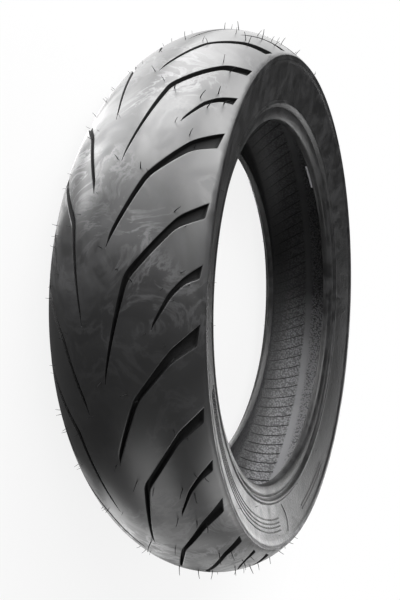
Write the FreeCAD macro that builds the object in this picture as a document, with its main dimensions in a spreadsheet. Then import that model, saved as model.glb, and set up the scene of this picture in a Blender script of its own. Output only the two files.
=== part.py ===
import FreeCAD, Part
import math
import os
import Sketcher

# Motorcycle tyre for the rear wheel, moulded in one piece. The wheel axis is Z, the origin is the
# wheel's centre, and lengths are millimetres. Angles turn about Z from +X towards +Y.
doc = FreeCAD.newDocument("motorcycle_tyre")

SIZES = {
    # Outer section: a round crown, a slightly curved sidewall and the rim line, a rib above the rim.
    "outer_diameter": 621.3,
    "crown_radius": 97.4,
    "tread_width": 151.0,
    "sidewall_bulge": 0.6,
    "rim_line_rise": 16.0,
    "rim_line_span": 117.0,
    "rim_line_width": 5.0,
    "rim_line_height": 1.6,
    # Beads: the land of each one seats on the rim, between its heel outside and its toe inside.
    "bead_diameter": 430.0,
    "bead_span": 100.0,
    "land_width": 8.0,
    "heel_height": 4.5,
    "heel_width": 4.0,
    "toe_height": 9.0,
    "toe_width": 4.6,
    # Liner: the inner skin, which follows the outside at the thickness of the rubber in each place.
    "crown_thickness": 10.5,
    "shoulder_tilt": 5.0,
    "wall_thickness": 5.5,
    # Tread grooves: depth at the crown and at the tread's edge, and how the pitches go round.
    "groove_depth": 6.5,
    "groove_edge_depth": 3.2,
    "pitch_count": 12,
    "pitch_phase": 15.0,
    "pitch_wave": 2.4,
    "pitch_wave_front": 270.0,
    "lower_side_shift": -7.5,
    "long_start": 0.0,
    "middle_start": 17.6,
    "short_start": 9.2,
}

# Corners of each groove on one side of the crown: degrees on from the groove's start, and
# millimetres along the crown's arc from its centre line. The leading and the trailing edge both
# run from the shoulder inwards, and a short slanted edge closes the inner end.
GROOVES = {
    "long": {
        "lead_shoulder": (0.0, 81.5),
        "lead_knee": (2.9, 60.3),
        "lead_elbow": (11.2, 25.3),
        "lead_end": (23.8, 10.4),
        "trail_shoulder": (2.45, 80.0),
        "trail_knee": (4.6, 60.2),
        "trail_elbow": (11.9, 29.0),
        "trail_end": (25.6, 9.6),
    },
    "middle": {
        "lead_shoulder": (0.0, 81.8),
        "lead_knee": (3.45, 59.0),
        "lead_elbow": (10.0, 30.5),
        "lead_end": (18.3, 11.0),
        "trail_shoulder": (3.2, 79.2),
        "trail_knee": (5.2, 60.5),
        "trail_elbow": (10.3, 34.3),
        "trail_end": (20.2, 9.5),
    },
    "short": {
        "lead_shoulder": (0.0, 82.0),
        "lead_knee": (2.0, 68.3),
        "lead_elbow": (4.3, 57.6),
        "lead_end": (8.3, 47.0),
        "trail_shoulder": (2.05, 80.3),
        "trail_knee": (2.9, 69.5),
        "trail_elbow": (4.75, 60.3),
        "trail_end": (9.05, 46.5),
    },
}

for kind, corners in GROOVES.items():
    for corner, (angle, arc) in corners.items():
        SIZES[f"{kind}_{corner}_angle"] = angle
        SIZES[f"{kind}_{corner}_arc"] = arc

sheet = doc.addObject("Spreadsheet::Sheet", "sizes")
for row, (alias, value) in enumerate(SIZES.items(), start=1):
    sheet.set(f"A{row}", alias)
    sheet.set(f"B{row}", str(value))
    sheet.setAlias(f"B{row}", alias)
doc.recompute()

# The round stretches of the section are drawn as short runs between points on their curves.
CROWN_RUNS = 8
SIDEWALL_RUNS = 3
LINER_RUNS = 4


def arc_corners(centre, radius, first, last, runs):
    """Points on an arc as pairs of expressions, from one angle to another and both ends in."""
    corners = []
    for run in range(runs + 1):
        angle = f"({first} + ({last} - {first}) * {run} / {runs})"
        corners.append((f"{centre[0]} + {radius} * cos({angle})", f"{centre[1]} + {radius} * sin({angle})"))
    return corners


def mirrored(upper):
    """The corners of the lower half in the same way round, from those of the upper half."""
    return [(across, f"-({along})") for across, along in reversed(upper)]


# Outer half of the section, from the tread's edge down to the toe. The crown is one arc from edge
# to edge, so the radius at the edge follows from the crown's radius and the tread's width.
OUTER_RADIUS = "sizes.outer_diameter / 2"
CROWN_CENTRE = f"({OUTER_RADIUS} - sizes.crown_radius)"
EDGE_TILT = "asin(sizes.tread_width / 2 / sizes.crown_radius)"
TREAD_EDGE = (f"({CROWN_CENTRE} + sizes.crown_radius * cos({EDGE_TILT}))", "(sizes.tread_width / 2)")
BEAD = "sizes.bead_diameter / 2"
LAND_END = "sizes.bead_span / 2"
RIM_LINE = f"({BEAD} + sizes.rim_line_rise)"
RIM_LINE_WALL = "sizes.rim_line_span / 2"
RIB_TOP = (f"({RIM_LINE} + sizes.rim_line_width / 2)", f"({RIM_LINE_WALL} + sizes.rim_line_width / 4)")


def on_sidewall(share):
    """The point of the sidewall at a share of the way down from the tread's edge to the rib."""
    across, along = (f"{top} + ({foot} - {top}) * {share}" for top, foot in zip(TREAD_EDGE, RIB_TOP))
    return across, f"{along} + sizes.sidewall_bulge * {4 * share * (1 - share)}"


sidewall = [on_sidewall(run / SIDEWALL_RUNS) for run in range(1, SIDEWALL_RUNS)]
bead = [
    RIB_TOP,
    (RIM_LINE, f"{RIM_LINE_WALL} + sizes.rim_line_height"),
    (f"{RIM_LINE} - sizes.rim_line_width / 2", f"{RIM_LINE_WALL} - sizes.rim_line_width / 4"),
    (f"{BEAD} + sizes.heel_height", f"{LAND_END} + sizes.heel_width"),
    (BEAD, LAND_END),
    (BEAD, f"{LAND_END} - sizes.land_width"),
]

# Inner half, from the toe up: the bead's inner face, a wall that thins towards the middle of the
# sidewall, and the liner's crown, which shares its centre with the tread's.
MID_WALL = on_sidewall(0.5)
inner_wall = [
    (f"{BEAD} + sizes.toe_height", f"{LAND_END} - sizes.land_width + sizes.toe_width"),
    (MID_WALL[0], f"{MID_WALL[1]} - sizes.wall_thickness"),
]
upper_half = sidewall + bead + inner_wall
crown = arc_corners((CROWN_CENTRE, 0), "sizes.crown_radius", f"(-{EDGE_TILT})", EDGE_TILT, CROWN_RUNS)
LINER_END = f"({EDGE_TILT} - sizes.shoulder_tilt * 1 deg)"
liner = arc_corners((CROWN_CENTRE, 0), "(sizes.crown_radius - sizes.crown_thickness)",
                    LINER_END, f"(-{LINER_END})", LINER_RUNS)
section = crown + upper_half + liner + mirrored(upper_half)

# The carcass: the whole section turned about the wheel's axis.
carcass = doc.addObject("PartDesign::Body", "carcass")
origin = {feature.Role: feature for feature in carcass.Origin.OriginFeatures}
outline = carcass.newObject("Sketcher::SketchObject", "section_outline")
outline.AttachmentSupport = [(origin["XZ_Plane"], "")]
outline.MapMode = "FlatFace"
points = [FreeCAD.Vector(*(outline.evalExpression(place) for place in corner)) for corner in section]
for edge, start in enumerate(points):
    outline.addGeometry(Part.LineSegment(start, points[(edge + 1) % len(points)]))
for edge, corner in enumerate(section):
    before = (edge - 1) % len(section)
    outline.addConstraint(Sketcher.Constraint("Coincident", before, 2, edge, 1))
    for direction, place, value in zip(("DistanceX", "DistanceY"), corner, points[edge]):
        size = outline.addConstraint(Sketcher.Constraint(direction, -1, 1, edge, 1, value))
        outline.setExpression(f"Constraints[{size}]", place)
doc.recompute()
ring = carcass.newObject("PartDesign::Revolution", "carcass_ring")
ring.Profile = outline
ring.ReferenceAxis = (origin["Z_Axis"], [""])
ring.Angle = 360
doc.recompute()

# Grooves. Each is cut by a solid with walls that run outwards, the way the mould's sectors open,
# and a floor at the groove's depth below every corner.
outer_radius = sheet.outer_diameter / 2
half_arc = sheet.crown_radius * math.asin(sheet.tread_width / 2 / sheet.crown_radius)


def flat_face(corners):
    return Part.Face(Part.makePolygon(corners + corners[:1]))


def stretched(even):
    """The true angle of a place on the pattern. The pitches are a little longer at one side of the
    wheel than at the other, because even ones would hum."""
    return math.radians(even + sheet.pitch_wave * math.sin(math.radians(even - sheet.pitch_wave_front)))


def groove_cutter(kind, start, side):
    """The cutter of one groove that starts at an even angle, above (1) or below (-1) the crown line."""
    opening = stretched(start + sheet.get(f"{kind}_trail_end_angle") / 2)
    outwards = FreeCAD.Vector(math.cos(opening), math.sin(opening), 0)
    ends = {}
    for corner in GROOVES[kind]:
        angle = stretched(start + sheet.get(f"{kind}_{corner}_angle"))
        arc = sheet.get(f"{kind}_{corner}_arc")
        tilt = arc / sheet.crown_radius
        radial = FreeCAD.Vector(math.cos(angle), math.sin(angle), 0)
        normal = radial * math.cos(tilt) + FreeCAD.Vector(0, 0, side * math.sin(tilt))
        surface = radial * (outer_radius - sheet.crown_radius) + normal * sheet.crown_radius
        fade = (arc / half_arc) ** 2
        depth = sheet.groove_depth + (sheet.groove_edge_depth - sheet.groove_depth) * fade
        height = outer_radius + sheet.groove_depth - surface.dot(outwards)
        ends[corner] = (surface - outwards * (depth / normal.dot(outwards)), surface + outwards * height)
    lead = [ends[corner] for corner in ends if corner.startswith("lead")]
    trail = [ends[corner] for corner in ends if corner.startswith("trail")]
    rim = lead + trail[::-1]
    faces = [flat_face([top for _, top in rim])]
    for (floor, top), (next_floor, next_top) in zip(rim, rim[1:] + rim[:1]):
        faces.append(flat_face([floor, next_floor, next_top, top]))
    lead_floor = [floor for floor, _ in lead]
    trail_floor = [floor for floor, _ in trail]
    for leg in range(len(lead) - 1):
        faces.append(flat_face([lead_floor[leg], lead_floor[leg + 1], trail_floor[leg]]))
        faces.append(flat_face([lead_floor[leg + 1], trail_floor[leg + 1], trail_floor[leg]]))
    solid = Part.Solid(Part.makeShell(faces))
    return solid if solid.Volume > 0 else solid.reversed()


# The lower side mirrors the upper one and is turned by a quarter of a pitch.
cutters = []
for side, shift in ((1, 0), (-1, sheet.lower_side_shift)):
    for pitch in range(int(sheet.pitch_count)):
        start = sheet.pitch_phase + shift + 360 * pitch / sheet.pitch_count
        for kind in GROOVES:
            cutters.append(groove_cutter(kind, start + sheet.get(f"{kind}_start"), side))
grooves = doc.addObject("Part::Feature", "grooves")
grooves.Shape = Part.makeCompound(cutters)
tyre = doc.addObject("Part::Cut", "tyre")
tyre.Base = carcass
tyre.Tool = grooves
doc.recompute()
tyre.Label = "tyre"

for item in doc.Objects:
    if "Invalid" in item.State or "Error" in item.State:
        raise RuntimeError(f"{item.Name} did not build: {item.State}")
if tyre.Shape.isNull() or not tyre.Shape.isValid() or len(tyre.Shape.Solids) != 1:
    raise RuntimeError("the tyre is not one valid solid")
if tyre.Shape.Volume >= carcass.Shape.Volume:
    raise RuntimeError("the grooves cut nothing")
os.makedirs("parts", exist_ok=True)
tyre.Shape.exportStep(f"parts/{tyre.Label}.step")
print(f"{tyre.Label}: {tyre.Shape.Volume / 1e6:.3f} litres")
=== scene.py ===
import math
import random

import bmesh
import bpy
import numpy as np
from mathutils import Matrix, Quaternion, Vector
from mathutils.geometry import delaunay_2d_cdt


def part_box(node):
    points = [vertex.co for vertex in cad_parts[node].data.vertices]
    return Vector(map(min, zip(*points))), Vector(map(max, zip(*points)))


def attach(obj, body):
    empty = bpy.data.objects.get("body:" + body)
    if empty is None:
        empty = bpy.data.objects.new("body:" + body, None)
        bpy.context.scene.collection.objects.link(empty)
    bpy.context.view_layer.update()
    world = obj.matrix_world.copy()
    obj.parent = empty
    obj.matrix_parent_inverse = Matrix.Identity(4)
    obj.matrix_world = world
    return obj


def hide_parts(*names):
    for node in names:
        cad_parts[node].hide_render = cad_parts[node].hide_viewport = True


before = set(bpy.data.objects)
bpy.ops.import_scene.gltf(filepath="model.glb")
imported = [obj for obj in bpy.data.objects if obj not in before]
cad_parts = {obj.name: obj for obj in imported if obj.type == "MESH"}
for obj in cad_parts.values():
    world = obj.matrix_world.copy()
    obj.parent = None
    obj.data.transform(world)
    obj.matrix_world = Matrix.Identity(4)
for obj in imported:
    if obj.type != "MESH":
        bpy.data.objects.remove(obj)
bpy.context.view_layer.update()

# Tyre: one moulding of black rubber, with a round grooved crown, thin sidewalls, two beads that grip
# the rim and a liner inside. One pitch of it is made flat, as angle, width and radius, and the pitches
# are then laid round the wheel, a little longer on one side than on the other.
MM = 0.001
tyre_low, tyre_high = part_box("tyre")
OUTER_RADIUS = tyre_high.x
EDGE_WIDTH = tyre_high.z
CROWN_RADIUS = 97.4 * MM
HALF_ARC = CROWN_RADIUS * math.asin(EDGE_WIDTH / CROWN_RADIUS)
PITCHES = 12
PITCH = 2 * math.pi / PITCHES
PITCH_PHASE = math.radians(15.0)
PITCH_WAVE = math.radians(2.4)
WAVE_FRONT = math.radians(270.0)
UPPER, LOWER = 1, -1
SIDE_SHIFTS = {UPPER: 0.0, LOWER: math.radians(-7.5)}
FLAT_RADIUS = 300 * MM
PITCH_LENGTH = PITCH * FLAT_RADIUS
EDGE_STEPS = 24

# Grooves of one side: degrees on from the groove's start and millimetres of arc from the crown line.
# Both edges run from the shoulder inwards, and a slanted edge closes the inner end.
GROOVES = {
    "long": {
        "start": 0.0,
        "lead": [(0.0, 81.5), (2.9, 60.3), (11.2, 25.3), (23.8, 10.4)],
        "trail": [(2.45, 80.0), (4.6, 60.2), (11.9, 29.0), (25.6, 9.6)],
    },
    "middle": {
        "start": 17.6,
        "lead": [(0.0, 81.8), (3.45, 59.0), (10.0, 30.5), (18.3, 11.0)],
        "trail": [(3.2, 79.2), (5.2, 60.5), (10.3, 34.3), (20.2, 9.5)],
    },
    "short": {
        "start": 9.2,
        "lead": [(0.0, 82.0), (2.0, 68.3), (4.3, 57.6), (8.3, 47.0)],
        "trail": [(2.05, 80.3), (2.9, 69.5), (4.75, 60.3), (9.05, 46.5)],
    },
}
GROOVE_DEPTH = 6.5 * MM
GROOVE_EDGE_DEPTH = 3.2 * MM
GROOVE_STEP = 5.0 * MM
FEWEST_STEPS = 2
BEND_REACH = 5.0 * MM
BEND_SHARE = 0.4
BEND_STEPS = 4

# At the shoulder a groove's trailing wall slopes, and its floor drops over the first rows. Where the
# groove is narrower than its full width it is shallower too. A rim of level rubber surrounds it.
MOUTH_SHARE = 0.2
MOUTH_DEPTHS = (0.0, 0.85, 1.0)
TRAIL_SLOPE = 1.8 * MM
SLOPED_ROWS = 7
FULL_WIDTH = 3.2 * MM
TIP_WIDTH = 0.5 * MM
RIM_SUPPORT = 0.8 * MM

# Half of a groove's cross-section from its rim inwards: millimetres from the rim, share of the depth.
WALL_STEPS = [(-0.8, 0.0), (0.0, 0.0), (0.25, 0.08), (0.6, 0.9), (1.1, 1.0)]


def flat_point(degrees, arc, start):
    return Vector((math.radians(degrees) * FLAT_RADIUS + start, arc * MM))


def rounded_line(corners, steps, reach):
    """A line through corners with its inner corners rounded, each run cut in a number of steps."""
    line = [corners[0]]
    for corner, after, count in zip(corners[1:], corners[2:] + [None], steps):
        start = line[-1]
        turn_in = min(reach, BEND_SHARE * (corner - start).length)
        into = corner if after is None else corner + (start - corner).normalized() * turn_in
        line += [start.lerp(into, step / count) for step in range(1, count + 1)]
        if after is not None:
            turn_out = min(turn_in, BEND_SHARE * (after - corner).length)
            out = corner + (after - corner).normalized() * turn_out
            for step in range(1, BEND_STEPS + 1):
                share = step / BEND_STEPS
                line.append(into.lerp(corner, share).lerp(corner.lerp(out, share), share))
    return line


def groove_depth(arc):
    return GROOVE_DEPTH + (GROOVE_EDGE_DEPTH - GROOVE_DEPTH) * (arc / HALF_ARC) ** 2


def groove_strip(kind, side, start):
    """A groove as rows of (point, depth) from its shoulder to its tip, each row from rim to rim."""
    lead = [flat_point(*corner, start) for corner in GROOVES[kind]["lead"]]
    trail = [flat_point(*corner, start) for corner in GROOVES[kind]["trail"]]
    tip = trail[-1]
    along = (trail[-2] - tip).normalized()
    trail[-1] = tip + along * (lead[-1] - tip).dot(along)
    runs = [(after - corner).length for corner, after in zip(lead, lead[1:] + [tip])]
    steps = [max(FEWEST_STEPS, round(run / GROOVE_STEP)) for run in runs]
    lead = rounded_line(lead + [tip], steps, BEND_REACH)
    trail = rounded_line(trail + [tip], steps, BEND_REACH)
    lead.insert(1, lead[0].lerp(lead[1], MOUTH_SHARE))
    trail.insert(1, trail[0].lerp(trail[1], MOUTH_SHARE))
    rows = []
    for station, (left, right) in enumerate(zip(lead, trail)):
        width = (right - left).length
        across = (right - left).normalized() if width > TIP_WIDTH else across
        if width < TIP_WIDTH:
            centre = (left + right) / 2
            left = centre - across * TIP_WIDTH / 2
            right = centre + across * TIP_WIDTH / 2
            width = TIP_WIDTH
        shrink = min(1.0, width / FULL_WIDTH)
        slope = max(0.0, 1 - station / SLOPED_ROWS) * min(TRAIL_SLOPE, max(0.0, width - FULL_WIDTH))
        deep = groove_depth((left.y + right.y) / 2) * math.sqrt(shrink)
        deep *= MOUTH_DEPTHS[min(station, len(MOUTH_DEPTHS) - 1)]
        from_lead = [(left + across * offset * MM * shrink, deep * share) for offset, share in WALL_STEPS]
        from_trail = []
        for offset, share in WALL_STEPS:
            reach = offset * MM * shrink + slope * share
            from_trail.append((right - across * reach, deep * share))
        rows.append(from_lead + from_trail[::-1])
    mouth = (rows[0][0][0] - rows[1][0][0]).normalized() * RIM_SUPPORT
    nose = (lead[-1] - (lead[-2] + trail[-2]) / 2).normalized() * RIM_SUPPORT
    rows.insert(0, [(point + mouth, 0.0) for point, _ in rows[0]])
    rows.append([(point + nose / 2, 0.0) for point, _ in rows[-1]])
    rows.append([(point + nose, 0.0) for point, _ in rows[-1]])
    return [[(Vector((point.x, side * point.y)), deep) for point, deep in row] for row in rows]


# Every point of one pitch has a number. The same point of another pitch has the number and the turns to it.
places, depths, strips, edges = [], [], [], {}
for side, shift in SIDE_SHIFTS.items():
    for kind, shape in GROOVES.items():
        start = (PITCH_PHASE + shift + math.radians(shape["start"])) * FLAT_RADIUS
        strip = []
        for row in groove_strip(kind, side, start):
            strip.append(list(range(len(places), len(places) + len(row))))
            places += [point for point, _ in row]
            depths += [deep for _, deep in row]
        strips.append(strip)
for side in SIDE_SHIFTS:
    edges[side] = list(range(len(places), len(places) + EDGE_STEPS))
    places += [Vector((step * PITCH_LENGTH / EDGE_STEPS, side * HALF_ARC)) for step in range(EDGE_STEPS)]
    depths += [0.0] * EDGE_STEPS


def outer_loop(strip):
    """The numbers around a groove's outermost points, in order."""
    lead_side = [row[0] for row in strip]
    trail_side = [row[-1] for row in strip]
    return lead_side + strip[-1][1:-1] + trail_side[::-1] + strip[0][1:-1][::-1]


# The land between the grooves: scattered points kept clear of the grooves, and triangles between them.
LAND_STEP = 5.0 * MM
LAND_ROW = LAND_STEP * math.sqrt(3) / 2
LAND_CLEAR = 2.4 * MM
LAND_JITTER = 0.8 * MM
LAND_SEED = 7
NEAR_TURNS = (-1, 0, 1)
GROOVE_TURNS = (-2, -1, 0, 1, 2)
loops = [outer_loop(strip) for strip in strips]
loops[len(GROOVES):] = [loop[::-1] for loop in loops[len(GROOVES):]]
walls = []
for loop in loops:
    for turn in GROOVE_TURNS:
        ring = np.array([places[number] for number in loop]) + (turn * PITCH_LENGTH, 0)
        walls.append(np.stack([ring, np.roll(ring, -1, axis=0)], axis=1))
walls = np.concatenate(walls)
scatter = random.Random(LAND_SEED)
columns = round(PITCH_LENGTH / LAND_STEP)
land_rows = round(2 * HALF_ARC / LAND_ROW)
land = []
for row in range(1, land_rows):
    for column in range(columns):
        along = (column + 0.5 * (row % 2)) * PITCH_LENGTH / columns
        along += scatter.uniform(-LAND_JITTER, LAND_JITTER)
        across = -HALF_ARC + row * 2 * HALF_ARC / land_rows
        across += scatter.uniform(-LAND_JITTER, LAND_JITTER)
        land.append((along, across))
land = np.array(land)
run = walls[:, 1] - walls[:, 0]
gap = land[:, None] - walls[None, :, 0]
share = np.clip((gap * run).sum(2) / (run * run).sum(1), 0, 1)
clear = np.linalg.norm(gap - share[:, :, None] * run, axis=2).min(1) > LAND_CLEAR
inner = np.abs(land[:, 1]) < HALF_ARC - LAND_STEP / 2
scattered = list(range(len(places), len(places) + int((clear & inner).sum())))
places += [Vector(point) for point in land[clear & inner]]
depths += [0.0] * len(scattered)

sheet_points, sheet_keys, sheet_edges, sheet_faces = [], {}, [], []


def sheet_point(number, turn):
    """The index of a point on the flat sheet of pitches, which is in millimetres."""
    key = (number, turn)
    if key not in sheet_keys:
        sheet_keys[key] = len(sheet_points)
        sheet_points.append(places[number] / MM + Vector((turn * PITCH_LENGTH / MM, 0)))
    return sheet_keys[key]


for turn in NEAR_TURNS:
    for number in scattered:
        sheet_point(number, turn)
    for side in SIDE_SHIFTS:
        for step in range(EDGE_STEPS):
            turns_on, after = divmod(step + 1, EDGE_STEPS)
            near_end = sheet_point(edges[side][step], turn)
            sheet_edges.append((near_end, sheet_point(edges[side][after], turn + turns_on)))
for turn in GROOVE_TURNS:
    for loop in loops:
        sheet_faces.append([sheet_point(number, turn) for number in loop])
ALL_TRIANGLES, SAME_POINT = 0, 1e-4
flat, _, triangles, sources, _, inside = delaunay_2d_cdt(
    sheet_points, sheet_edges, sheet_faces, ALL_TRIANGLES, SAME_POINT)
key_of = {index: key for key, index in sheet_keys.items()}

# One pitch as points of angle, width and radius, and faces that each have a finish.
TREAD, SIDEWALL, LINER, GROOVE = 0, 1, 2, 3
cell_numbers, cell_points, cell_faces, cell_skin = {}, [], [], []


def on_crown(arc, deep):
    """Width along the axis and radius of a point below the crown."""
    tilt = arc / CROWN_RADIUS
    reach = CROWN_RADIUS - deep
    return reach * math.sin(tilt), OUTER_RADIUS - CROWN_RADIUS + reach * math.cos(tilt)


def cell_point(number, turn):
    key = (number, turn)
    if key not in cell_numbers:
        cell_numbers[key] = len(cell_points)
        angle = places[number].x / FLAT_RADIUS + turn * PITCH
        cell_points.append((angle, *on_crown(places[number].y, depths[number])))
    return cell_numbers[key]


for triangle, covers in zip(triangles, inside):
    centre = sum(flat[corner].x for corner in triangle) / len(triangle) * MM
    if not covers and 0 <= centre < PITCH_LENGTH:
        cell_faces.append([cell_point(*key_of[sources[corner][0]]) for corner in triangle])
cell_skin += [TREAD] * len(cell_faces)
for strip in strips:
    for row, next_row in zip(strip, strip[1:]):
        for column in range(len(row) - 1):
            ring = row[column], row[column + 1], next_row[column + 1], next_row[column]
            cell_faces.append([cell_point(number, 0) for number in ring])
            sunk = sum(depths[number] > 0 for number in ring) > 1
            cell_skin.append(GROOVE if sunk else TREAD)

# The section below the tread's edge, as radius and width in millimetres: a plain sidewall under a raised
# ring, and the bead with the rim line, its groove, the heel, the land that seats on the rim and the toe.
SIDEWALL_BULGE = 0.6
RIM_LINE_TOP = Vector((233.5, 59.75))
edge_corner = Vector(on_crown(HALF_ARC, 0)[::-1]) / MM
WALL_LINE = (edge_corner - RIM_LINE_TOP).normalized()


def on_sidewall(radius, proud):
    """A point of the sidewall as (radius, width), raised by a height."""
    share = (edge_corner.x - radius) / (edge_corner.x - RIM_LINE_TOP.x)
    place = edge_corner.lerp(RIM_LINE_TOP, share) + Vector((-WALL_LINE.y, WALL_LINE.x)) * proud
    return place + Vector((0, SIDEWALL_BULGE * 4 * share * (1 - share)))


RAISED_RING = [(274.0, 0.25), (272.3, 0.3), (271.4, 0.9), (269.6, 0.9), (268.7, 0.05)]
PLAIN_WALL_TOP, PLAIN_WALL_STEP, PLAIN_WALL_STEPS = 265.7, 3.3, 9
PLAIN_WALL_FOOT = [(236.4, 0.0), (234.3, 0.0)]
plain_wall = [(PLAIN_WALL_TOP - PLAIN_WALL_STEP * step, 0.0) for step in range(PLAIN_WALL_STEPS)]
sidewall = [on_sidewall(radius, proud) for radius, proud in RAISED_RING + plain_wall + PLAIN_WALL_FOOT]
RIM_LINE = [(233.4, 59.8), (232.6, 60.3), (231.4, 60.4), (230.2, 59.9), (229.3, 58.5), (228.6, 57.3)]
RIM_LINE_GROOVE = [(227.6, 56.6), (226.8, 55.5), (226.0, 55.3), (225.2, 56.0)]
BEAD_HEEL = [(222.6, 55.1), (220.4, 54.3), (218.4, 53.0), (216.6, 51.6), (215.5, 50.5), (215.0, 49.4)]
BEAD_LAND = [(215.0, 46.0), (215.0, 43.0)]
BEAD_TOE = [(215.3, 42.2), (216.2, 42.1), (219.0, 43.8), (222.0, 45.4)]
outside = [tuple(point) for point in sidewall]
outside += RIM_LINE + RIM_LINE_GROOVE + BEAD_HEEL + BEAD_LAND + BEAD_TOE

# The liner: a straight inner wall from the toe, two rounded corners and an arc below the crown.
LINER_RADIUS = 86.9
LINER_CENTRE = (OUTER_RADIUS - CROWN_RADIUS) / MM
LINER_CORNER, LINER_ARC, LINER_STEPS = 45.8, 36.0, 8
INNER_WALL_FOOT, INNER_WALL_TOP = Vector((224.0, 46.6)), Vector((254.15, 62.7))
INNER_WALL_STEPS, INNER_WALL_BEND = (4, 2, 2), 9.0


def on_liner(degrees):
    """A point of the liner's arc as (radius, width), by the angle from the wheel's middle plane."""
    turn = math.radians(degrees)
    return Vector((LINER_CENTRE + LINER_RADIUS * math.cos(turn), LINER_RADIUS * math.sin(turn)))


wall_corners = [INNER_WALL_FOOT, INNER_WALL_TOP, on_liner(LINER_CORNER), on_liner(LINER_ARC)]
liner = rounded_line(wall_corners, INNER_WALL_STEPS, INNER_WALL_BEND)
liner += [on_liner(LINER_ARC * (1 - step / LINER_STEPS)) for step in range(1, LINER_STEPS)]
upper = [(radius, width, SIDEWALL) for radius, width in outside]
upper += [(radius, width, LINER) for radius, width in liner]
lower = [(radius, -width, skin) for radius, width, skin in reversed(upper)]
section = upper + [(LINER_CENTRE + LINER_RADIUS, 0.0, LINER)] + lower


def tread_edge(side):
    """The points along the tread's edge of one pitch, up to the first point of the next pitch."""
    ends = edges[side] + edges[side][:1]
    return [cell_point(number, step // EDGE_STEPS) for step, number in enumerate(ends)]


rows, row_skins = [tread_edge(UPPER)], []
for radius, width, skin in section:
    row = []
    for step in range(EDGE_STEPS + 1):
        row.append(len(cell_points))
        cell_points.append((step * PITCH / EDGE_STEPS, width * MM, radius * MM))
    rows.append(row)
    row_skins.append(skin)
rows.append(tread_edge(LOWER))
row_skins.append(SIDEWALL)
for skin, row, next_row in zip(row_skins, rows, rows[1:]):
    for step in range(EDGE_STEPS):
        cell_faces.append([row[step], row[step + 1], next_row[step + 1], next_row[step]])
        cell_skin.append(skin)


class Wire:
    """An output socket of a node tree. Sums on wires add Math nodes, and node() adds any other node."""

    def __init__(self, socket):
        self.socket = socket

    @classmethod
    def node(cls, tree, kind, settings=None, sockets=None, out=0):
        node = tree.nodes.new(kind)
        for name, value in (settings or {}).items():
            if name == "stops":
                elements = node.color_ramp.elements
                while len(elements) < len(value):
                    elements.new(1.0)
                for element, (place, level) in zip(elements, value):
                    element.position = place
                    element.color = (level, level, level, 1.0)
            else:
                setattr(node, name, value)
        for name, value in (sockets or {}).items():
            if isinstance(value, cls):
                tree.links.new(value.socket, node.inputs[name])
            else:
                node.inputs[name].default_value = value
        return cls(node.outputs[out]) if node.outputs else node

    def out(self, name):
        return Wire(self.socket.node.outputs[name])

    @classmethod
    def maths(cls, operation, *operands):
        tree = next(wire.socket.id_data for wire in operands if isinstance(wire, cls))
        return cls.node(tree, "ShaderNodeMath", {"operation": operation}, dict(enumerate(operands)))

    def __add__(self, other):
        return Wire.maths("ADD", self, other)

    __radd__ = __add__

    def __sub__(self, other):
        return Wire.maths("SUBTRACT", self, other)

    def __rsub__(self, other):
        return Wire.maths("SUBTRACT", other, self)

    def __mul__(self, other):
        return Wire.maths("MULTIPLY", self, other)

    __rmul__ = __mul__

    def __truediv__(self, other):
        return Wire.maths("DIVIDE", self, other)


def new_material(name):
    material = bpy.data.materials.new(name)
    material.use_nodes = True
    material.node_tree.nodes.clear()
    return material, material.node_tree


def finish_material(tree, sockets):
    shader = Wire.node(tree, "ShaderNodeBsdfPrincipled", sockets=sockets)
    Wire.node(tree, "ShaderNodeOutputMaterial", sockets={"Surface": shader})


def object_place(tree):
    return Wire.node(tree, "ShaderNodeTexCoord").out("Object")


def split(tree, vector):
    return Wire.node(tree, "ShaderNodeSeparateXYZ", sockets={"Vector": vector})


def object_noise(tree, place, scale, detail=3.0, roughness=0.55, distortion=0.0):
    return Wire.node(tree, "ShaderNodeTexNoise", sockets={
        "Vector": place, "Scale": scale, "Detail": detail, "Roughness": roughness,
        "Distortion": distortion})


def object_cells(tree, place, scale):
    return Wire.node(tree, "ShaderNodeTexVoronoi", sockets={"Vector": place, "Scale": scale})


def ramp(tree, value, *stops):
    return Wire.node(tree, "ShaderNodeValToRGB", {"stops": stops}, {"Fac": value})


MIX_FACTOR, MIX_FIRST, MIX_LAST, MIX_COLOUR = 0, 6, 7, 2
COOL = 1.03


def grey(level):
    """A grey with a little blue in it."""
    return (level, level, level * COOL, 1.0)


def grey_between(tree, share, first, last):
    """A grey from a first to a last level, by a share."""
    return Wire.node(tree, "ShaderNodeMix", {"data_type": "RGBA"}, {
        MIX_FACTOR: share, MIX_FIRST: grey(first), MIX_LAST: grey(last)}, out=MIX_COLOUR)


def bumped(tree, height, strength, distance):
    """The normal of a surface with bumps of a distance in millimetres."""
    return Wire.node(tree, "ShaderNodeBump", sockets={
        "Strength": strength, "Distance": distance * MM, "Height": height})


# Tread finish: satin rubber with the cloudy film and the wisps that the mould's release agent leaves on
# part of the wheel. The film has less gloss than the rubber, and the wisps are paler.
RUBBER_IOR = 1.5
WHEEL_SPAN = 0.6
tread_rubber, tree = new_material("tread_rubber")
place = object_place(tree)
along_wheel = split(tree, place).out("X") / WHEEL_SPAN + 0.5
filmed = ramp(tree, along_wheel,
              (0.06, 0.1), (0.2, 0.9), (0.42, 0.9), (0.56, 0.15), (0.68, 0.2), (0.8, 1.0))
cloud_noise = object_noise(tree, place, scale=17.0, detail=7.0, roughness=0.62, distortion=1.2)
clouds = ramp(tree, cloud_noise, (0.44, 0.0), (0.64, 1.0)) * filmed
wander = object_noise(tree, place, scale=24.0, detail=7.0, roughness=0.65, distortion=1.5)
wisps = ramp(tree, Wire.maths("ABSOLUTE", wander - 0.5), (0.0, 1.0), (0.05, 0.0))
patches = ramp(tree, object_noise(tree, place, scale=12.0), (0.46, 0.0), (0.6, 1.0))
streaks = wisps * patches * filmed
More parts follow.
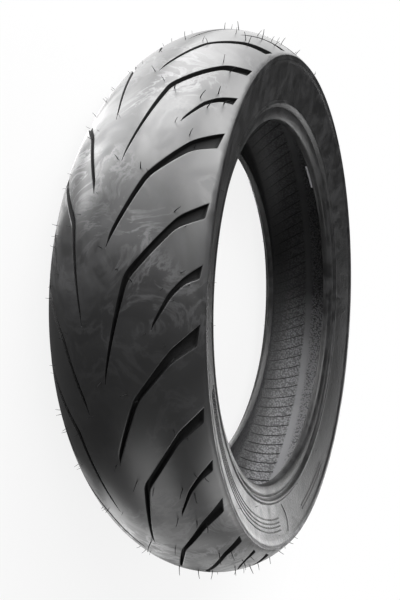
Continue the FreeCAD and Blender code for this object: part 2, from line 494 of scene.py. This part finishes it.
film = Wire.maths("MAXIMUM", clouds - streaks, 0.0)
paleness = Wire.maths("MINIMUM", clouds * 0.45 + streaks * 0.8, 1.0)
grain = object_noise(tree, place, scale=1400.0, detail=2.0)
ripple = object_noise(tree, place, scale=35.0, detail=2.0)
relief = ripple * 0.4 + grain * 0.08 + streaks * 0.1
finish_material(tree, {
    "Base Color": grey_between(tree, paleness, 0.02, 0.13), "Roughness": 0.42 + film * 0.2,
    "IOR": RUBBER_IOR, "Coat Weight": 1.0 - film * 0.65, "Coat Roughness": 0.3,
    "Normal": bumped(tree, relief, strength=0.25, distance=0.6)})

# Sidewall finish: matt moulded rubber with a fine grain and smudges of dust.
sidewall_rubber, tree = new_material("sidewall_rubber")
place = object_place(tree)
dust_noise = object_noise(tree, place, scale=40.0, detail=6.0, roughness=0.65, distortion=0.8)
dust = ramp(tree, dust_noise, (0.42, 0.0), (0.68, 1.0))
grain = object_noise(tree, place, scale=420.0, detail=4.0)
finish_material(tree, {
    "Base Color": grey_between(tree, dust, 0.01, 0.033), "Roughness": 0.34 + dust * 0.16,
    "IOR": RUBBER_IOR, "Normal": bumped(tree, grain, strength=0.6, distance=0.8)})

# Liner finish: dull inner rubber greyed by the release agent. The bladder that presses the tyre into its
# mould leaves pebbles on the lower part of the liner, a smooth band, and speckles up to the other bead.
# The liner is painted paler towards +X, the half that the lamps light through the bore, and its pebbles are
# painted darker towards the lower bead: painted light and painted shade.
LINER_SPAN = 0.1
liner_rubber, tree = new_material("liner_rubber")
place = object_place(tree)
spot = split(tree, place)
across_liner = spot.out("Z") / LINER_SPAN + 0.5
# The pebbled band fades darker towards the lower bead: painted shade of that bead's shadow.
pebbled_band_and_painted_shade = ramp(tree, across_liner, (0.0, 0.2), (0.2, 1.0), (0.39, 1.0), (0.43, 0.0))
smooth = ramp(tree, across_liner, (0.39, 0.0), (0.43, 1.0), (0.50, 1.0), (0.56, 0.0))
speckled = ramp(tree, across_liner, (0.50, 0.0), (0.56, 1.0))
pebbles = ramp(tree, object_cells(tree, place, scale=330.0), (0.15, 1.0), (0.7, 0.25))
speckles = ramp(tree, object_cells(tree, place, scale=380.0), (0.25, 1.6), (0.7, 0.2))
cells = pebbles * pebbled_band_and_painted_shade + speckles * speckled
# Painted light: the liner's grey rises towards +X, where the lamps light it through the bore.
liner_painted_light = ramp(tree, spot.out("X") / WHEEL_SPAN + 0.5, (0.47, 0.35), (0.64, 1.3))
clouds = 0.6 + object_noise(tree, place, scale=26.0, detail=4.0) * 0.8
paleness = (cells + smooth * 0.8) * clouds * liner_painted_light
finish_material(tree, {
    "Base Color": grey_between(tree, paleness, 0.03, 0.34), "Roughness": 0.5, "IOR": RUBBER_IOR,
    "Normal": bumped(tree, cells, strength=0.8, distance=0.8)})

# Groove finish: the same rubber without the film, painted darker and duller than the tread as painted shade
# in the grooves, with a little dust in the hollows. The hairs take this dark rubber too.
dark_rubber_with_painted_groove_shade, tree = new_material("dark_rubber_with_painted_groove_shade")
place = object_place(tree)
dust = ramp(tree, object_noise(tree, place, scale=70.0, detail=5.0), (0.45, 0.0), (0.7, 1.0))
grain = object_noise(tree, place, scale=900.0, detail=2.0)
finish_material(tree, {
    # Painted shade: the grooves' grey lies below the tread rubber's own.
    "Base Color": grey_between(tree, dust, 0.008, 0.016), "Roughness": 0.65 + dust * 0.15,
    "Specular IOR Level": 0.25, "Normal": bumped(tree, grain, strength=0.3, distance=0.3)})


def new_tree(name, sizes):
    """An empty Geometry Nodes tree with a named input for each size, and the wire of its inputs."""
    tree = bpy.data.node_groups.new(name, "GeometryNodeTree")
    tree.interface.new_socket("Geometry", in_out="INPUT", socket_type="NodeSocketGeometry")
    for label, kind in sizes.items():
        tree.interface.new_socket(label, in_out="INPUT", socket_type="NodeSocket" + kind)
    tree.interface.new_socket("Geometry", in_out="OUTPUT", socket_type="NodeSocketGeometry")
    return tree, Wire.node(tree, "NodeGroupInput")


ROW_SIZES = {"Copies": "Int", "Step": "Float", "First": "Float", "Wave": "Float", "Wave Front": "Float"}


def laid_round(tree, given, place):
    """Nodes that lay copies of a flat piece in a row and bend the row round the wheel.

    The flat piece has its angle along X, its width along Y and its radius along Z, and place is the
    wire of its positions."""
    step = Wire.node(tree, "ShaderNodeCombineXYZ", sockets={"X": given.out("Step")})
    first = Wire.node(tree, "ShaderNodeCombineXYZ", sockets={"X": given.out("First")})
    row = Wire.node(tree, "GeometryNodeMeshLine", sockets={
        "Count": given.out("Copies"), "Start Location": first, "Offset": step})
    copies = Wire.node(tree, "GeometryNodeInstanceOnPoints", sockets={
        "Points": row, "Instance": given.out("Geometry")})
    sheet = Wire.node(tree, "GeometryNodeRealizeInstances", sockets={"Geometry": copies})
    even, radius = place.out("X"), place.out("Z")
    angle = even + given.out("Wave") * Wire.maths("SINE", even - given.out("Wave Front"))
    bent = Wire.node(tree, "ShaderNodeCombineXYZ", sockets={
        "X": radius * Wire.maths("COSINE", angle), "Y": radius * Wire.maths("SINE", angle),
        "Z": place.out("Y")})
    return Wire.node(tree, "GeometryNodeSetPosition", sockets={"Geometry": sheet, "Position": bent})


def wrap_tree(name, materials):
    """Geometry Nodes that lay a flat piece round the wheel, with the material of each face by its skin."""
    tree, given = new_tree(name, {**ROW_SIZES, "Weld": "Float", "Smooth": "Bool"})
    place = split(tree, Wire.node(tree, "GeometryNodeInputPosition"))
    wheel = Wire.node(tree, "GeometryNodeMergeByDistance", sockets={
        "Geometry": laid_round(tree, given, place), "Distance": given.out("Weld")})
    wheel = Wire.node(tree, "GeometryNodeSetShadeSmooth", sockets={
        "Geometry": wheel, "Shade Smooth": given.out("Smooth")})
    skin = Wire.node(tree, "GeometryNodeInputNamedAttribute", {"data_type": "INT"}, {"Name": "skin"})
    for number, material in enumerate(materials):
        chosen = Wire.node(tree, "FunctionNodeCompare", {"data_type": "INT", "operation": "EQUAL"},
                           {"A": skin, "B": number})
        wheel = Wire.node(tree, "GeometryNodeSetMaterial", sockets={
            "Geometry": wheel, "Selection": chosen, "Material": material})
    Wire.node(tree, "NodeGroupOutput", sockets={"Geometry": wheel})
    return tree


def made_by(name, source, tree, sizes):
    """A plain mesh object from a source mesh and a tree, with the tree's named inputs set first."""
    builder = bpy.data.objects.new(name + "_source", source)
    bpy.context.scene.collection.objects.link(builder)
    modifier = builder.modifiers.new(name, "NODES")
    modifier.node_group = tree
    for item in tree.interface.items_tree:
        if item.in_out == "INPUT" and item.name in sizes:
            modifier[item.identifier] = sizes[item.name]
    evaluated = builder.evaluated_get(bpy.context.evaluated_depsgraph_get())
    mesh = bpy.data.meshes.new_from_object(evaluated)
    bpy.data.objects.remove(builder)
    shell = bmesh.new()
    shell.from_mesh(mesh)
    bmesh.ops.recalc_face_normals(shell, faces=shell.faces)
    shell.to_mesh(mesh)
    shell.free()
    piece = bpy.data.objects.new(name, mesh)
    bpy.context.scene.collection.objects.link(piece)
    return piece


def laid_piece(name, points, faces, face_skins, materials, sizes):
    """A piece whose flat form is laid round the wheel."""
    source = bpy.data.meshes.new(name)
    source.from_pydata(points, [], faces)
    source.attributes.new("skin", "INT", "FACE").data.foreach_set("value", face_skins)
    return made_by(name, source, wrap_tree(name, materials), sizes)


WELD = 0.02 * MM
finishes = [tread_rubber, sidewall_rubber, liner_rubber, dark_rubber_with_painted_groove_shade]
tyre = laid_piece("tyre_moulding", cell_points, cell_faces, cell_skin, finishes, {
    "Copies": PITCHES, "Step": PITCH, "Wave": PITCH_WAVE, "Wave Front": WAVE_FRONT, "Weld": WELD,
    "Smooth": True})
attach(tyre, "root")
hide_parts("tyre")

# Liner ribs: low slanting ribs across the pebbles of the liner, part of the rubber, left by the vent
# lines of the bladder that presses the tyre into its mould. One rib is made flat, in millimetres and in
# degrees along the liner's arc, and laid round the wheel.
LINER_RIBS = 100
RIB_FIRST, RIB_LAST, RIB_STEPS = -42.0, -6.0, 8
RIB_SLANT = 0.0015
RIB_FOOT, RIB_CREST, RIB_HEIGHT = 1.0, 0.4, 1.0
SUNK = 0.3
RIB_CORNERS = ((-RIB_FOOT, SUNK), (-RIB_CREST, -RIB_HEIGHT), (RIB_CREST, -RIB_HEIGHT), (RIB_FOOT, SUNK))


def bar(sections):
    """Points and faces of a closed bar through cross-sections that have the same number of points."""
    count = len(sections[0])
    points = [point for section in sections for point in section]
    faces = [list(range(count)), list(range(len(points) - count, len(points)))]
    for first in range(0, len(points) - count, count):
        for corner in range(count):
            after = (corner + 1) % count
            faces.append([first + corner, first + after, first + count + after, first + count + corner])
    return points, faces


def rib_section(degrees):
    """Four points across a rib of the liner."""
    radius, width = on_liner(degrees)
    angle = RIB_SLANT * width
    return [(angle + reach / radius, width * MM, (radius + sunk) * MM) for reach, sunk in RIB_CORNERS]


def bars_round(name, bars, material, sizes):
    """A piece of one material from flat bars that are laid round the wheel."""
    points, faces = [], []
    for bar_points, bar_faces in bars:
        faces += [[len(points) + corner for corner in face] for face in bar_faces]
        points += bar_points
    return laid_piece(name, points, faces, [0] * len(faces), [material], sizes)


rib_rise = (RIB_LAST - RIB_FIRST) / RIB_STEPS
rib = bar([rib_section(RIB_FIRST + rib_rise * step) for step in range(RIB_STEPS + 1)])
# The ribs take the darker sidewall rubber, not the liner's, so that they show as dark lines: painted shade.
ribs = bars_round("liner_ribs", [rib], sidewall_rubber, {
    "Copies": LINER_RIBS, "Step": 2 * math.pi / LINER_RIBS})
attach(ribs, "root")

# Sidewall marks: knurled lines, two plain bars and a mould seam, all raised from the rubber of both
# sidewalls. The knurls repeat along their line, and the bars and the seam are single. Radii, widths and
# heights are in millimetres.
KNURL_LINES = (247.5, 251.5, 255.0, 259.0)
KNURL_STEP = math.radians(0.5)
KNURL_LENGTH = 0.62 * KNURL_STEP
KNURL_FIRST, KNURLS = math.radians(285.0), 122
KNURL_HALF_WIDTH = 1.0
BAR_LINES = (256.0, 260.0)
BAR_FIRST, BAR_LAST, BAR_STEPS = math.radians(5.0), math.radians(27.0), 12
BAR_HALF_WIDTH = 1.1
MARK_HEIGHT, MARK_CREST = 0.5, 0.6
SEAM_ANGLE = math.radians(352.0)
SEAM_RADII = range(236, 268, 4)
SEAM_CORNERS = ((-0.7, -SUNK), (-0.3, 0.4), (0.3, 0.4), (0.7, -SUNK))
SEAM_LEAN, SEAM_MIDDLE, SEAM_HALF = math.radians(1.5), 250, 15


def wall_section(angle, radius, half, side):
    """Four points across a ridge that runs round the sidewall."""
    crest = MARK_CREST * half
    corners = ((-half, -SUNK), (-crest, MARK_HEIGHT), (crest, MARK_HEIGHT), (half, -SUNK))
    section = [on_sidewall(radius + reach, proud) for reach, proud in corners]
    return [(angle, side * place.y * MM, place.x * MM) for place in section]


def seam_section(radius, side):
    """Four points across the ridge of the mould seam, which runs outwards."""
    angle = SEAM_ANGLE - SEAM_LEAN * ((radius - SEAM_MIDDLE) / SEAM_HALF) ** 2
    section = [(reach, on_sidewall(radius, proud)) for reach, proud in SEAM_CORNERS]
    return [(angle + reach / radius, side * place.y * MM, place.x * MM) for reach, place in section]


knurls, bars = [], []
bar_step = (BAR_LAST - BAR_FIRST) / BAR_STEPS
bar_angles = [BAR_FIRST + bar_step * step for step in range(BAR_STEPS + 1)]
for side in SIDE_SHIFTS:
    for radius in KNURL_LINES:
        ends = (0.0, KNURL_LENGTH)
        knurls.append(bar([wall_section(angle, radius, KNURL_HALF_WIDTH, side) for angle in ends]))
    for radius in BAR_LINES:
        bars.append(bar([wall_section(angle, radius, BAR_HALF_WIDTH, side) for angle in bar_angles]))
    bars.append(bar([seam_section(radius, side) for radius in SEAM_RADII]))
knurled_lines = bars_round("knurled_lines", knurls, sidewall_rubber, {
    "Copies": KNURLS, "Step": KNURL_STEP, "First": KNURL_FIRST})
sidewall_bars = bars_round("sidewall_bars", bars, sidewall_rubber, {"Copies": 1})
for marks in (knurled_lines, sidewall_bars):
    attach(marks, "root")

# Vent hairs: thin rubber hairs that the mould's vents leave, part of the moulding. Their places are
# given for one pitch, in degrees and in millimetres of arc on the tread or of radius on the sidewall,
# and nodes lay them round the wheel and stand a bent hair on each.
HAIR_PLACES = {
    "long": [(2.4, 57.0), (4.2, 66.0), (10.6, 20.0), (12.1, 31.5), (25.4, 6.0)],
    "middle": [(2.7, 56.0), (4.6, 62.0), (9.2, 26.5), (10.2, 33.5), (20.3, 6.0)],
    "short": [(1.4, 66.0), (2.9, 73.0), (3.6, 54.0), (5.1, 62.0), (9.5, 42.5)],
}
TREAD_HAIR_SIZES = {UPPER: 0.95, LOWER: 0.5}
WALL_HAIRS = [(4.0, 233.5), (11.0, 263.0), (18.0, 233.5), (26.0, 240.0)]
WALL_HAIR_SIZE = 0.4
WALL_LEAN = math.pi - math.atan2(WALL_LINE.x, WALL_LINE.y)
HAIR_LENGTH, HAIR_THICKNESS = 8.0 * MM, 1.0 * MM
SHORTEST_HAIR, LONGEST_HAIR = 0.6, 1.2
HAIR_TILT = 0.35
HAIR_TAPER = 0.55
HAIR_BEND = ((0.0, -0.15), (0.0, 0.55), (0.22, 1.0))
HAIR_STEPS, HAIR_SIDES = 4, 5
HAIR_SEED = 5
hair_points, hair_leans, hair_sizes = [], [], []
for side, shift in SIDE_SHIFTS.items():
    for kind, spots in HAIR_PLACES.items():
        start = PITCH_PHASE + shift + math.radians(GROOVES[kind]["start"])
        for degrees, arc in spots:
            hair_points.append((start + math.radians(degrees), *on_crown(side * arc * MM, 0.0)))
            hair_leans.append(side * arc * MM / CROWN_RADIUS)
            hair_sizes.append(TREAD_HAIR_SIZES[side])
    for degrees, radius in WALL_HAIRS:
        place = on_sidewall(radius, 0.0)
        hair_points.append((shift + math.radians(degrees), side * place.y * MM, place.x * MM))
        hair_leans.append(side * WALL_LEAN)
        hair_sizes.append(WALL_HAIR_SIZE)
hair_mesh = bpy.data.meshes.new("hair_places")
hair_mesh.from_pydata(hair_points, [], [])
for name, values in (("lean", hair_leans), ("size", hair_sizes)):
    hair_mesh.attributes.new(name, "FLOAT", "POINT").data.foreach_set("value", values)

# The spots of the hairs round the wheel, and the rubber's outward direction at each.
tree, given = new_tree("hairs_round_the_wheel", {
    **ROW_SIZES, "Length": "Float", "Thickness": "Float", "Tilt": "Float", "Seed": "Int"})
place = split(tree, Wire.node(tree, "GeometryNodeInputPosition"))
spots = laid_round(tree, given, place)
lean = Wire.node(tree, "GeometryNodeInputNamedAttribute", {"data_type": "FLOAT"}, {"Name": "lean"})
size = Wire.node(tree, "GeometryNodeInputNamedAttribute", {"data_type": "FLOAT"}, {"Name": "size"})
reach = Wire.maths("SQRT", place.out("X") * place.out("X") + place.out("Y") * place.out("Y"))
outwards = Wire.node(tree, "ShaderNodeCombineXYZ", sockets={
    "X": place.out("X") / reach * Wire.maths("COSINE", lean),
    "Y": place.out("Y") / reach * Wire.maths("COSINE", lean), "Z": Wire.maths("SINE", lean)})
upright = Wire.node(tree, "FunctionNodeAlignRotationToVector", {"axis": "Z"}, {"Vector": outwards})

# A random tilt and a random length for each hair.
VECTOR_LEAST, VECTOR_MOST = 0, 1
FLOAT_LEAST, FLOAT_MOST, FLOAT_VALUE = 2, 3, 1
tilt = given.out("Tilt")
least_tilt = Wire.node(tree, "ShaderNodeCombineXYZ", sockets={"X": tilt * -1.0, "Y": tilt * -1.0})
most_tilt = Wire.node(tree, "ShaderNodeCombineXYZ", sockets={"X": tilt, "Y": tilt, "Z": 2 * math.pi})
tilts = Wire.node(tree, "FunctionNodeRandomValue", {"data_type": "FLOAT_VECTOR"}, {
    VECTOR_LEAST: least_tilt, VECTOR_MOST: most_tilt, "Seed": given.out("Seed")})
turned = Wire.node(tree, "FunctionNodeRotateRotation", {"rotation_space": "LOCAL"}, {
    "Rotation": upright, "Rotate By": tilts})
lengths = Wire.node(tree, "FunctionNodeRandomValue", {"data_type": "FLOAT"}, {
    FLOAT_LEAST: SHORTEST_HAIR, FLOAT_MOST: LONGEST_HAIR, "Seed": given.out("Seed")}, out=FLOAT_VALUE)

# One hair: a bent, tapering thread that starts a little below the surface.
length = given.out("Length")
bend = [Wire.node(tree, "ShaderNodeCombineXYZ", sockets={"X": length * aside, "Z": length * up})
        for aside, up in HAIR_BEND]
thread = Wire.node(tree, "GeometryNodeCurveQuadraticBezier", sockets={
    "Resolution": HAIR_STEPS, "Start": bend[0], "Middle": bend[1], "End": bend[2]})
ring = Wire.node(tree, "GeometryNodeCurvePrimitiveCircle", sockets={
    "Resolution": HAIR_SIDES, "Radius": given.out("Thickness") * 0.5})
taper = 1.0 - Wire.node(tree, "GeometryNodeSplineParameter") * HAIR_TAPER
hair = Wire.node(tree, "GeometryNodeCurveToMesh", sockets={
    "Curve": thread, "Profile Curve": ring, "Scale": taper, "Fill Caps": True})
hairs = Wire.node(tree, "GeometryNodeInstanceOnPoints", sockets={
    "Points": spots, "Instance": hair, "Rotation": turned, "Scale": lengths * size})
hairs = Wire.node(tree, "GeometryNodeRealizeInstances", sockets={"Geometry": hairs})
hairs = Wire.node(tree, "GeometryNodeSetMaterial", sockets={
    "Geometry": hairs, "Material": dark_rubber_with_painted_groove_shade})
Wire.node(tree, "NodeGroupOutput", sockets={"Geometry": hairs})
vent_hairs = made_by("vent_hairs", hair_mesh, tree, {
    "Copies": PITCHES, "Step": PITCH, "Wave": PITCH_WAVE, "Wave Front": WAVE_FRONT,
    "Length": HAIR_LENGTH, "Thickness": HAIR_THICKNESS, "Tilt": HAIR_TILT, "Seed": HAIR_SEED})
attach(vent_hairs, "root")

# Label: a small strip of blank, slightly smudged paper. It is glued inside the upper bead, just below
# the toe, and stands out a little from the rubber.
LABEL_FIRST, LABEL_LAST, LABEL_STEPS = math.radians(141.5), math.radians(152.5), 6
LABEL_CORNERS = ((217.4, 43.2), (216.7, 39.0), (217.0, 38.9), (217.8, 43.1))
paper, tree = new_material("paper")
place = object_place(tree)
fibres = object_noise(tree, place, scale=1100.0, detail=4.0, roughness=0.7, distortion=2.0)
smudges = ramp(tree, object_noise(tree, place, scale=90.0, detail=4.0), (0.4, 0.0), (0.7, 1.0))
finish_material(tree, {
    "Base Color": grey_between(tree, smudges * 0.6 + fibres * 0.4, 0.62, 0.42), "Roughness": 0.7,
    "Normal": bumped(tree, fibres, strength=0.4, distance=0.1)})
label_step = (LABEL_LAST - LABEL_FIRST) / LABEL_STEPS
sections = []
for step in range(LABEL_STEPS + 1):
    angle = LABEL_FIRST + label_step * step
    sections.append([(angle, width * MM, radius * MM) for radius, width in LABEL_CORNERS])
label = bars_round("label", [bar(sections)], paper, {"Copies": 1})
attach(label, "root")

# Floor: a wide sheet of white acrylic that the tyre lies on, seen as plain white with a soft shadow
# round the tyre. It lets the light of the soft boxes through, so they light the tyre from below it too.
FLOOR_HALF = 6.0
FLOOR_CORNERS = ((-1, -1), (1, -1), (1, 1), (-1, 1))
SHADOW_NEAR, SHADOW_FAR, SHADOW_SHARE = 0.4, 0.8, 0.14
WHITE, PALE_GREY = (1.0, 1.0, 1.0, 1.0), (0.8, 0.8, 0.8, 1.0)
floor_mesh = bpy.data.meshes.new("floor")
corners = [(x * FLOOR_HALF, y * FLOOR_HALF, tyre_low.z) for x, y in FLOOR_CORNERS]
floor_mesh.from_pydata(corners, [], [range(len(corners))])
floor = bpy.data.objects.new("floor", floor_mesh)
bpy.context.scene.collection.objects.link(floor)
floor_white, tree = new_material("floor_white")
seen = Wire.node(tree, "ShaderNodeLightPath").out("Is Camera Ray")
spot = split(tree, object_place(tree))
reach = Wire.maths("SQRT", spot.out("X") * spot.out("X") + spot.out("Y") * spot.out("Y"))
shade = ramp(tree, reach, (SHADOW_NEAR, SHADOW_SHARE), (SHADOW_FAR, 0.0))
shadowed = Wire.node(tree, "ShaderNodeBsdfDiffuse", sockets={"Color": PALE_GREY})
white = Wire.node(tree, "ShaderNodeEmission", sockets={"Color": WHITE, "Strength": 1.0})
mixed = Wire.node(tree, "ShaderNodeMixShader", sockets={0: seen * (1.0 - shade), 1: shadowed, 2: white})
Wire.node(tree, "ShaderNodeOutputMaterial", sockets={"Surface": mixed})
floor.data.materials.append(floor_white)
floor.visible_shadow = False
floor.visible_diffuse = False
floor.visible_glossy = False

# Light: a dim room that the camera sees as white, and a ring of soft boxes round the wheel. Each box has
# its angle from the camera's side, its height angle, its size and its radiance. The strongest stand
# towards the picture's top and behind the wheel.
ROOM_LIGHT = 0.07
LAMP_DISTANCE = 1.3
LARGE_BOX, SMALL_BOX = (0.7, 0.8), (0.6, 0.6)
SOFT_BOXES = {
    "top_front_box": (-30, 0, LARGE_BOX, 1.4),
    "top_front_high_box": (-30, 38, LARGE_BOX, 1.2),
    "top_low_box": (-60, -38, LARGE_BOX, 5.0),
    "top_box": (-60, 0, LARGE_BOX, 7.8),
    "top_high_box": (-60, 38, LARGE_BOX, 4.8),
    "crown_low_box": (-90, -38, LARGE_BOX, 1.6),
    "crown_box": (-90, 0, LARGE_BOX, 3.6),
    "crown_high_box": (-90, 38, LARGE_BOX, 4.3),
    "back_low_box": (-120, -38, LARGE_BOX, 1.0),
    "back_box": (-120, 0, LARGE_BOX, 1.3),
    "under_box": (-150, -40, SMALL_BOX, 6.5),
    "under_crown_box": (-120, -60, SMALL_BOX, 1.5),
    "foot_front_box": (60, 0, SMALL_BOX, 1.4),
    "foot_box": (90, 0, SMALL_BOX, 0.8),
    "foot_high_box": (90, 38, SMALL_BOX, 2.6),
    "foot_low_box": (98, -28, SMALL_BOX, 1.5),
    "heel_low_box": (120, -38, SMALL_BOX, 0.6),
    "heel_side_box": (120, 0, SMALL_BOX, 0.75),
    "heel_high_box": (120, 38, SMALL_BOX, 0.8),
    "heel_box": (150, 0, SMALL_BOX, 6.2),
    "heel_back_box": (165, 22, SMALL_BOX, 3.0),
}
world = bpy.data.worlds.new("studio")
world.use_nodes = True
tree = world.node_tree
tree.nodes.clear()
seen = Wire.node(tree, "ShaderNodeLightPath").out("Is Camera Ray")
room = Wire.node(tree, "ShaderNodeBackground", sockets={
    "Color": WHITE, "Strength": ROOM_LIGHT + seen * (1.0 - ROOM_LIGHT)})
Wire.node(tree, "ShaderNodeOutputWorld", sockets={"Surface": room})
bpy.context.scene.world = world
for name, (round_angle, height_angle, (width, height), radiance) in SOFT_BOXES.items():
    lamp = bpy.data.lights.new(name, "AREA")
    lamp.shape = "RECTANGLE"
    lamp.size = width
    lamp.size_y = height
    lamp.energy = radiance * math.pi * width * height
    turn, rise = math.radians(round_angle), math.radians(height_angle)
    place = LAMP_DISTANCE * Vector((
        math.cos(rise) * math.sin(turn), -math.cos(rise) * math.cos(turn), math.sin(rise)))
    holder = bpy.data.objects.new(name, lamp)
    holder.location = place
    holder.rotation_euler = (-place).to_track_quat("-Z", "Y").to_euler()
    holder.visible_camera = False
    bpy.context.scene.collection.objects.link(holder)

# Camera: beside the wheel and above its upper side. It is rolled by about a quarter turn, so that the
# tyre, which lies on the floor, stands upright in the picture.
VIEW_POINT = Vector((-0.0090, -0.5953, 0.2353))
VIEW_DIRECTION = Vector((0.01365, 0.88884, -0.45803))
VIEW_ROLL = math.radians(91.92)
FOCAL_PIXELS = 497.5
PICTURE_HEIGHT = 600
SENSOR_WIDTH = 36.0
lens = bpy.data.cameras.new("camera")
lens.sensor_width = SENSOR_WIDTH
lens.lens = FOCAL_PIXELS / PICTURE_HEIGHT * SENSOR_WIDTH
camera = bpy.data.objects.new("camera", lens)
camera.location = VIEW_POINT
level = VIEW_DIRECTION.to_track_quat("-Z", "Y")
camera.rotation_euler = (level @ Quaternion((0, 0, 1), VIEW_ROLL)).to_euler()
bpy.context.scene.collection.objects.link(camera)
bpy.context.scene.camera = camera
bpy.context.scene.view_settings.view_transform = "Standard"
